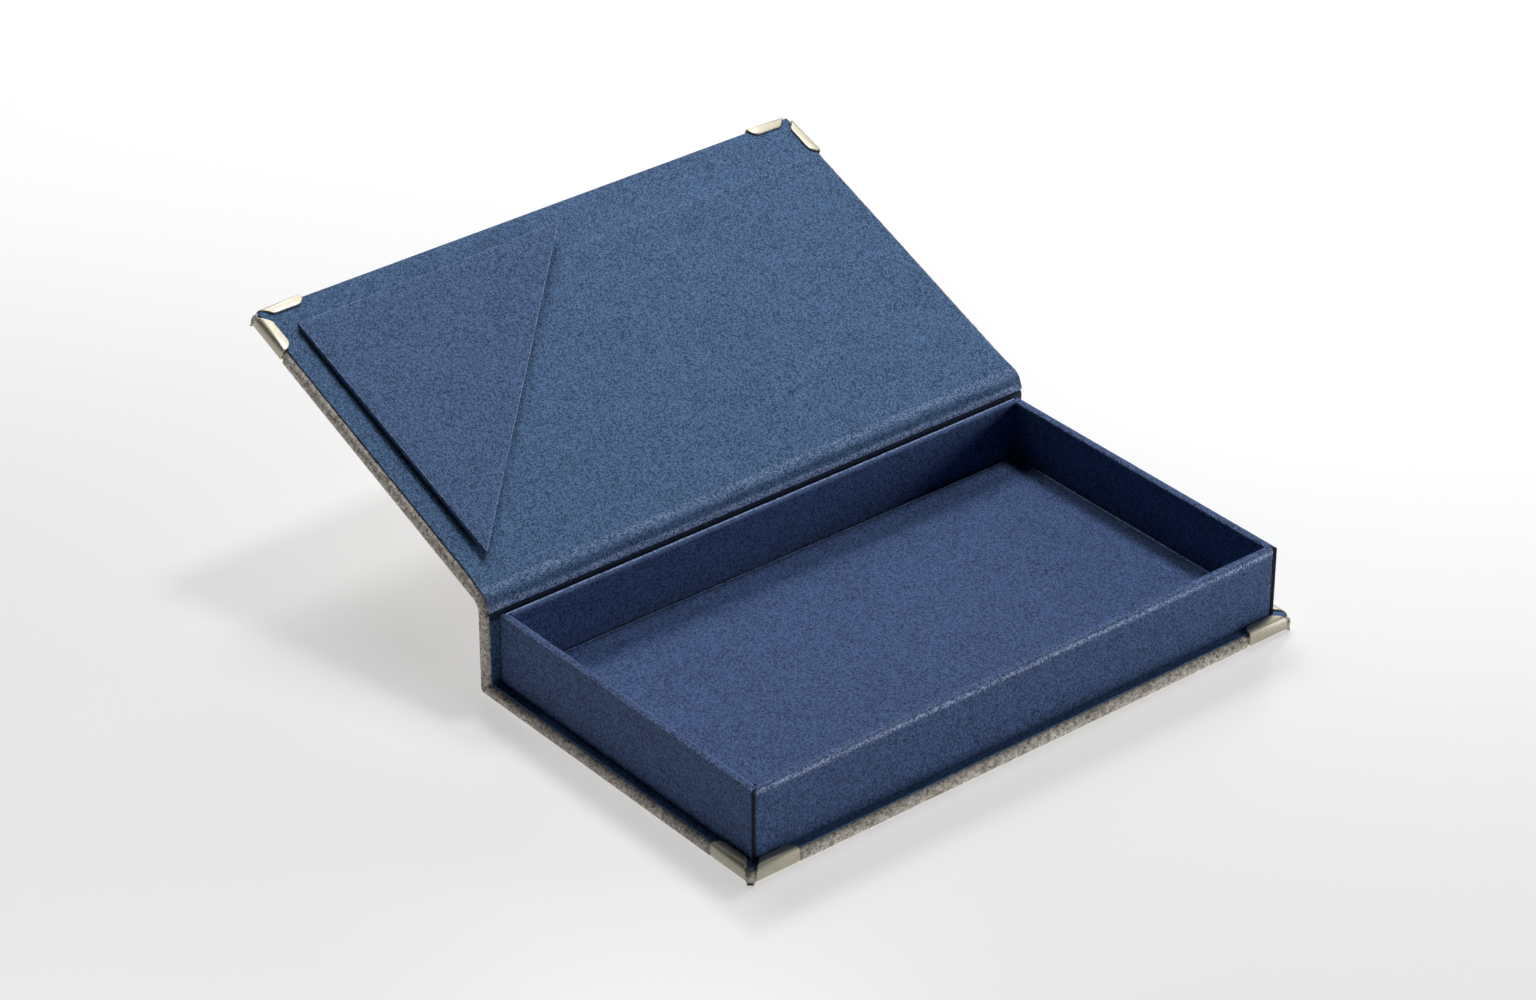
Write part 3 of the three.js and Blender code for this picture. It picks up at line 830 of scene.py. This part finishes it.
def lining(material):
    """One cloth: on the base, up the spine, pressed into the joint, and over the lid."""
    width = half - lining_inset
    cloth = sheet("lining", (-width, front + lining_inset, thickness), (width, spine_face, thickness))
    pick("EDGE", lambda e: both(e, lambda p: near(p.y, spine_face)))
    extrude((0, 0, spine_top - thickness))
    centre = axis - bend_out * (BEND - thickness / 2) / math.cos(bend_turn / 2)
    for _ in range(4):
        extrude((0, 0, (centre.z - spine_top) / 4))
    bpy.ops.mesh.spin(steps=24, angle=bend_turn, center=tuple(centre), axis=(1, 0, 0))
    straight_from = (centre - axis).dot(lid_along)
    board_from = axis.z - spine_top
    for _ in range(4):
        extrude(lid_along * (board_from - straight_from) / 4)
    extrude(lid_along * (reach - lining_inset - board_from))
    outwards()
    pick("EDGE", lambda e: both(e, lambda p: near(p.y, spine_face) and near(p.z, thickness)))
    bevel(LINING_FOOT, 4)

    # rows of faces for the crease over the felt's turned-in end, for the joint, and for the lid's unevenness
    crease = beside_lid(reach - TURN_IN, 0)
    for offset in CREASE_CUTS:
        slice_at(crease + offset * MM * lid_along, lid_along)
    rows(LINING_STRIP, -width, width, (1, 0, 0))
    for i in range(1, 5):
        slice_at((0, 0, spine_top - i * VALLEY_ROW), (0, 0, 1))
    for i in range(1, LINING_STRIPS):
        slice_at(beside_lid(reach * i / LINING_STRIPS, 0), lid_along)
    rows((spine_face - front) / LINING_STRIPS, front, spine_face, (0, 1, 0))
    shape_lining(cloth)

    outwards()
    mesh = bmesh.from_edit_mesh(cloth.data)
    up = max(mesh.faces, key=lambda f: f.calc_area())
    if up.normal.z < 0:
        bpy.ops.mesh.flip_normals()
    thicken(cloth, CLOTH)
    close(cloth)
    lay_cloth(cloth)
    tone_lining(cloth)
    dress(cloth, material)
    return cloth


# ---- tray ----

def finish_cloth(cloth, material, node):
    outwards()
    thicken(cloth, CLOTH)
    close(cloth)
    lay_cloth(cloth)
    dress(cloth, material)
    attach(cloth, "case")
    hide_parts(node)


def end_wall_cloth(node, material, side):
    """The front or back cloth. It stops short of the upright corners, where the side walls' ends show."""
    low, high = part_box(node)
    outer = low.y if side < 0 else high.y
    inner = high.y if side < 0 else low.y
    seam = outer - side * CORNER_LAP
    end = high.x - CORNER_LAP - SEAM
    cloth = block(node + "_cover", (-end, min(outer, seam), low.z), (end, max(outer, seam), high.z))
    inside = high.x - wall - SEAM
    for x in (-inside, inside):
        slice_at((x, 0, 0), (1, 0, 0))
    pick("FACE", lambda f: f.normal.y * side < -0.9 and abs(f.calc_center_median().x) < inside)
    extrude((0, inner - seam, 0))
    drop_faces(lambda f: f.normal.z < -0.9)

    def is_round(e):
        at_outer, at_inner = (both(e, lambda p: near(p.y, y)) for y in (outer, inner))
        at_end, at_top = both(e, lambda p: near(abs(p.x), end)), both(e, lambda p: near(p.z, high.z))
        return at_top and (at_outer or at_inner or at_end) or at_outer and at_end
    pick("EDGE", is_round)
    bevel(WALL_ROUND, 6)
    for i in range(3):
        slice_at((0, outer - side * (TOP_ROW_FROM + i * TOP_ROW), 0), (0, 1, 0))
    for i in range(6):
        slice_at((0, 0, high.z - WALL_ROUND - i * WALL_ROW), (0, 0, 1))
    finish_cloth(cloth, material, node)

    # painted highlight lines: on the front wall just under its edge, and on the outer half of the back wall's
    # top; none on the walls' inner halves
    folds = cloth.data.attributes["fold"].data
    for face in cloth.data.polygons:
        p = face.center
        if (p.y - (low.y + high.y) / 2) * side < 0:
            folds[face.index].value = 0
        elif side < 0:
            below = high.z - p.z
            folds[face.index].value = FRONT_TONE * math.exp(-((below - FRONT_HIGHLIGHT) / FRONT_HIGHLIGHT_WIDTH) ** 2)
        elif p.z > high.z - WALL_ROUND:
            inside = outer - p.y
            folds[face.index].value = BACK_TONE * math.exp(-((inside - BACK_HIGHLIGHT) / BACK_HIGHLIGHT_WIDTH) ** 2)


def side_wall_cloth(node, material, edge_material):
    """A side cloth, with the narrow blackened ends of its board beside the front and back cloths."""
    low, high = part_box(node)
    side = math.copysign(1, low.x)
    face = high.x if side > 0 else low.x
    cloth = block(node + "_cover", low, high)
    slice_at((face - side * CORNER_LAP, 0, 0), (1, 0, 0))
    for end in (low.y, high.y):
        pick("FACE", lambda f: near(f.calc_center_median().y, end)
             and abs(f.calc_center_median().x - face) < CORNER_LAP)
        extrude((0, math.copysign(CORNER_LAP, end), 0))
    drop_faces(lambda f: f.normal.z < -0.9)
    inner = face - side * wall

    def is_top(e):
        return both(e, lambda p: near(p.z, high.z) and (near(p.x, face) or near(p.x, inner)))
    pick("EDGE", is_top)
    bevel(WALL_ROUND, 6)
    ends = (low.y - CORNER_LAP, high.y + CORNER_LAP)
    pick("FACE", lambda f: abs(f.normal.y) > 0.9 and any(near(f.calc_center_median().y, y) for y in ends))
    cloth.data.materials.append(material)
    cloth.data.materials.append(edge_material)
    cloth.active_material_index = 1
    bpy.ops.object.material_slot_assign()
    outwards()
    thicken(cloth, CLOTH)
    close(cloth)
    lay_cloth(cloth)
    # a weaker painted highlight on the side walls' folds
    for fold in cloth.data.attributes["fold"].data:
        fold.value *= SIDE_TONE
    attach(cloth, "case")
    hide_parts(node)


def floor_liner(material):
    """The cloth over the loose card in the tray, with a painted highlight line just inside its edges."""
    low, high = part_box("floor_liner_cloth")
    cloth = block("floor_liner_cover", low, high)
    drop_faces(lambda f: f.normal.z < -0.9)
    pick("EDGE", is_fold)
    bevel(LINER_ROUND, 4)
    pick("FACE", lambda f: f.normal.z > 0.99)
    bpy.ops.mesh.inset(thickness=LINER_HIGHLIGHT)
    finish_cloth(cloth, material, "floor_liner_cloth")
    # painted highlight on the narrow ring of faces just inside the edges
    folds = cloth.data.attributes["fold"].data
    for face in cloth.data.polygons:
        if face.normal.z > 0.99 and face.area < 2 * high.x * LINER_HIGHLIGHT:
            folds[face.index].value = LINER_TONE


# ---- pocket ----

def pocket_corner():
    """The panel's right-angled corner, which is its upper left one: its X, its place along the lid, and how
    far the panel goes down from it."""
    places = [(v.co - axis).dot(lid_along) for v in frame["nodes"]["pocket_cover"].data.vertices]
    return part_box("pocket_cover")[0].x, max(places), max(places) - min(places)


def on_lid(piece):
    """Moves a mesh from a flat frame to the lid: X stays, Y runs along it and Z comes out of its lining."""
    piece.data.transform(Matrix.Translation(axis) @ Matrix.Rotation(lean, 4, "X"))


def pocket_lift(x, y, left, top, down):
    """How far the panel is raised: pressed down at its right angle and sprung up at its sharp ends."""
    across = min(1, max(0, (x - left) / pocket_across))
    along = min(1, max(0, (top - y) / down))
    bow = BOW * math.sin(math.pi * along) * (1 - across) ** 2
    return SPRUNG_ACROSS * across ** 2 + SPRUNG_DOWN * along ** 2 + bow - PRESSED


def spring(piece, foot, height, corner):
    """Lifts a flat piece with the panel, in full at the panel's height and not at all at its foot."""
    left, top, down = corner
    for vertex in piece.data.vertices:
        p = vertex.co
        share = min(1, max(0, (p.z - foot) / (height - foot)))
        p.z += share * pocket_lift(p.x, p.y, left, top, down)
    on_lid(piece)


def triangle(name, corner, inset, low, high):
    """A flat right-angled triangle with its hypotenuse cut slanting, cut into strips so that it can bend."""
    left, top, down = corner
    far, foot = left + pocket_across, top - down
    panel = block(name, (left + inset, foot, low), (far, top - inset, high))
    slant = Vector((down, -pocket_across, 0)).normalized()
    slice_at(Vector((left, foot, 0)) - inset * slant, slant, clear_outer=True, use_fill=True)
    rows(POCKET_STRIP, left, far, (1, 0, 0))
    rows(POCKET_STRIP, foot, top, (0, 1, 0))
    return panel


def finish_pocket_piece(piece, material, node, thick, foot, height, corner):
    outwards()
    if thick:
        thicken(piece, thick)
    bpy.ops.object.mode_set(mode="OBJECT")
    spring(piece, foot, height, corner)
    close(piece)
    lay_cloth(piece, math.radians(90), ON_LID)
    dress(piece, material)
    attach(piece, "lid")
    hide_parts(node)


def gusset(node, low_corner, high_corner, foot, height):
    """A strip of cloth on the lid, folded over its outer edge and back in under the panel."""
    strip = sheet(node + "_fold", (*low_corner, foot), (*high_corner, foot))
    across = 1 if node.endswith("top") else 0
    edge = high_corner[1] if across else low_corner[0]
    pick("EDGE", lambda e: both(e, lambda p: near(p[across], edge)))
    centre = [0, 0, (foot + height) / 2]
    centre[across] = edge
    spin_axis = (-1, 0, 0) if across else (0, 1, 0)
    bpy.ops.mesh.spin(steps=6, angle=math.pi, center=centre, axis=spin_axis)
    back_in = [0, 0, 0]
    back_in[across] = -GUSSET_LEAF if across else GUSSET_LEAF
    extrude(back_in)
    lengthways = UPRIGHT[1 - across]
    rows(POCKET_STRIP, low_corner[1 - across], high_corner[1 - across], lengthways)
    return strip


def pocket(cloth_material, card_material):
    left, top, down = pocket_corner()
    top += POCKET_SHIFT
    corner = (left, top, down)
    heights = [(v.co - axis).dot(lid_out) for v in frame["nodes"]["pocket_cover"].data.vertices]
    low, high = min(heights), max(heights)
    foot = thickness / 2 + GLUE

    cover = triangle("pocket_panel", corner, 0, low, high)
    drop_faces(lambda f: f.normal.z < -0.9)
    pick("EDGE", is_fold)
    bevel(POCKET_ROUND, 4)
    finish_pocket_piece(cover, cloth_material, "pocket_cover", CLOTH, foot, low, corner)

    inside = triangle("pocket_panel_card", corner, CLOTH + SEAM, low + CARD_UP, high - CLOTH - SEAM)
    finish_pocket_piece(inside, card_material, "pocket_card", 0, foot, low, corner)

    gusset_left, gusset_top = left + GUSSET_INSET, top - GUSSET_INSET
    right, bottom = left + pocket_across - GUSSET_STOP, top - down + GUSSET_STOP
    for node, low_corner, high_corner in (
            ("pocket_gusset_top", (gusset_left, gusset_top - GUSSET_LEAF), (right, gusset_top)),
            ("pocket_gusset_side", (gusset_left, bottom), (gusset_left + GUSSET_LEAF, top - GUSSET_BELOW))):
        strip = gusset(node, low_corner, high_corner, foot, low - GLUE)
        finish_pocket_piece(strip, cloth_material, node, GUSSET, foot, low, corner)


# ---- stage ----

def stage():
    bpy.ops.object.select_all(action="DESELECT")
    bpy.ops.mesh.primitive_plane_add(size=8, location=(0, 0, -0.05 * MM))
    floor = bpy.context.object
    floor.name = "studio_floor"
    material, tree = new_material("white_acrylic_lit_from_below")
    place = add_node(tree, "ShaderNodeTexCoord").outputs["Object"]
    behind = (-math.sin(VIEW_AZIMUTH), math.cos(VIEW_AZIMUTH), 0)
    distance = add_node(tree, "ShaderNodeVectorMath", {"operation": "DOT_PRODUCT"},
                        {0: place, 1: behind}).outputs["Value"]
    glow = add_node(tree, "ShaderNodeMapRange", {"interpolation_type": "SMOOTHSTEP"},
                    {"Value": distance, "From Min": 0.05, "From Max": 0.38,
                     "To Min": 0.505, "To Max": 0.63}).outputs[0]
    shader = add_node(tree, "ShaderNodeBsdfPrincipled", None,
                      {"Base Color": (0.42, 0.42, 0.42, 1), "Roughness": 0.2, "Specular IOR Level": 0.35,
                       "Emission Color": (1, 1, 1, 1), "Emission Strength": glow})
    add_node(tree, "ShaderNodeOutputMaterial", None, {"Surface": shader.outputs[0]})
    floor.data.materials.append(material)


def soft_light(name, azimuth, elevation, size, power):
    """A round soft light aimed at the box. The azimuth runs from +X towards +Y."""
    light = bpy.data.lights.new(name, "AREA")
    light.shape = "DISK"
    light.size = size
    light.energy = power
    lamp = bpy.data.objects.new(name, light)
    around, above = math.radians(azimuth), math.radians(elevation)
    toward = Vector((math.cos(around) * math.cos(above), math.sin(around) * math.cos(above), math.sin(above)))
    lamp.location = LIGHT_DISTANCE * toward
    lamp.rotation_euler = (-toward).to_track_quat("-Z", "Y").to_euler()
    bpy.context.scene.collection.objects.link(lamp)


def lights():
    world = bpy.data.worlds.new("dim_studio")
    bpy.context.scene.world = world
    world.use_nodes = True
    world.node_tree.nodes["Background"].inputs["Color"].default_value = (1, 1, 1, 1)
    world.node_tree.nodes["Background"].inputs["Strength"].default_value = 0.01
    soft_light("key_behind_right", 56, 50, 0.3, 5.3)
    soft_light("high_right", 20, 66, 0.3, 9.6)
    soft_light("broad_behind", 80, 52, 0.6, 7.0)
    soft_light("low_right", 35, 22, 0.6, 1.9)
    soft_light("low_front_right", -40, 12, 0.5, 7.2)


def camera():
    toward = Vector((math.sin(VIEW_AZIMUTH) * math.cos(VIEW_ELEVATION),
                     -math.cos(VIEW_AZIMUTH) * math.cos(VIEW_ELEVATION), math.sin(VIEW_ELEVATION)))
    right = Vector((0, 0, 1)).cross(toward).normalized()
    up = toward.cross(right)
    lens = bpy.data.cameras.new("camera")
    lens.lens = VIEW_LENS
    lens.sensor_width = 36
    eye = bpy.data.objects.new("camera", lens)
    eye.location = tray_low + VIEW_OFFSET.x * right + VIEW_OFFSET.y * up + VIEW_OFFSET.z * toward
    eye.rotation_euler = Matrix((right, up, toward)).transposed().to_euler()
    bpy.context.scene.collection.objects.link(eye)
    bpy.context.scene.camera = eye
    bpy.context.scene.view_settings.view_transform = "Standard"


# ---- the whole box ----

camera()
lights()
stage()

felt_material = wool_felt()
tray_cloth = woven_book_cloth("book_cloth_navy", "#5675AE", "#13254A")
lining_material = woven_book_cloth("lining_cloth_navy", "#6189BA", "#193356")
pocket_cloth = woven_book_cloth("pocket_cloth_navy", "#6082B6", "#182F54")
edge_ink = black_ink()
brass_material = pale_brass()
greyboard_material = pulp_board("greyboard_pressed", "#9A9388", "#6F685F")
card_material = pulp_board("card_calendered", "#DAD4C6", "#B9B2A2")

cover = felt_cover(felt_material)
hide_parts("base_felt", "spine_felt", "joint_felt", "lid_felt")
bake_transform(cover)

inner_cloth = lining(lining_material)
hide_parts("base_lining", "spine_lining", "joint_lining", "lid_lining")
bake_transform(inner_cloth)

place_corners(brass_material)
end_wall_cloth("tray_front_cloth", tray_cloth, -1)
end_wall_cloth("tray_back_cloth", tray_cloth, 1)
side_wall_cloth("tray_left_cloth", tray_cloth, edge_ink)
side_wall_cloth("tray_right_cloth", tray_cloth, edge_ink)
floor_liner(tray_cloth)
pocket(pocket_cloth, card_material)

for name, node in frame["nodes"].items():
    if name.endswith(("_board", "_wall")) or name == "tray_floor":
        dress(node, greyboard_material)
    elif name.endswith("_card"):
        dress(node, card_material)
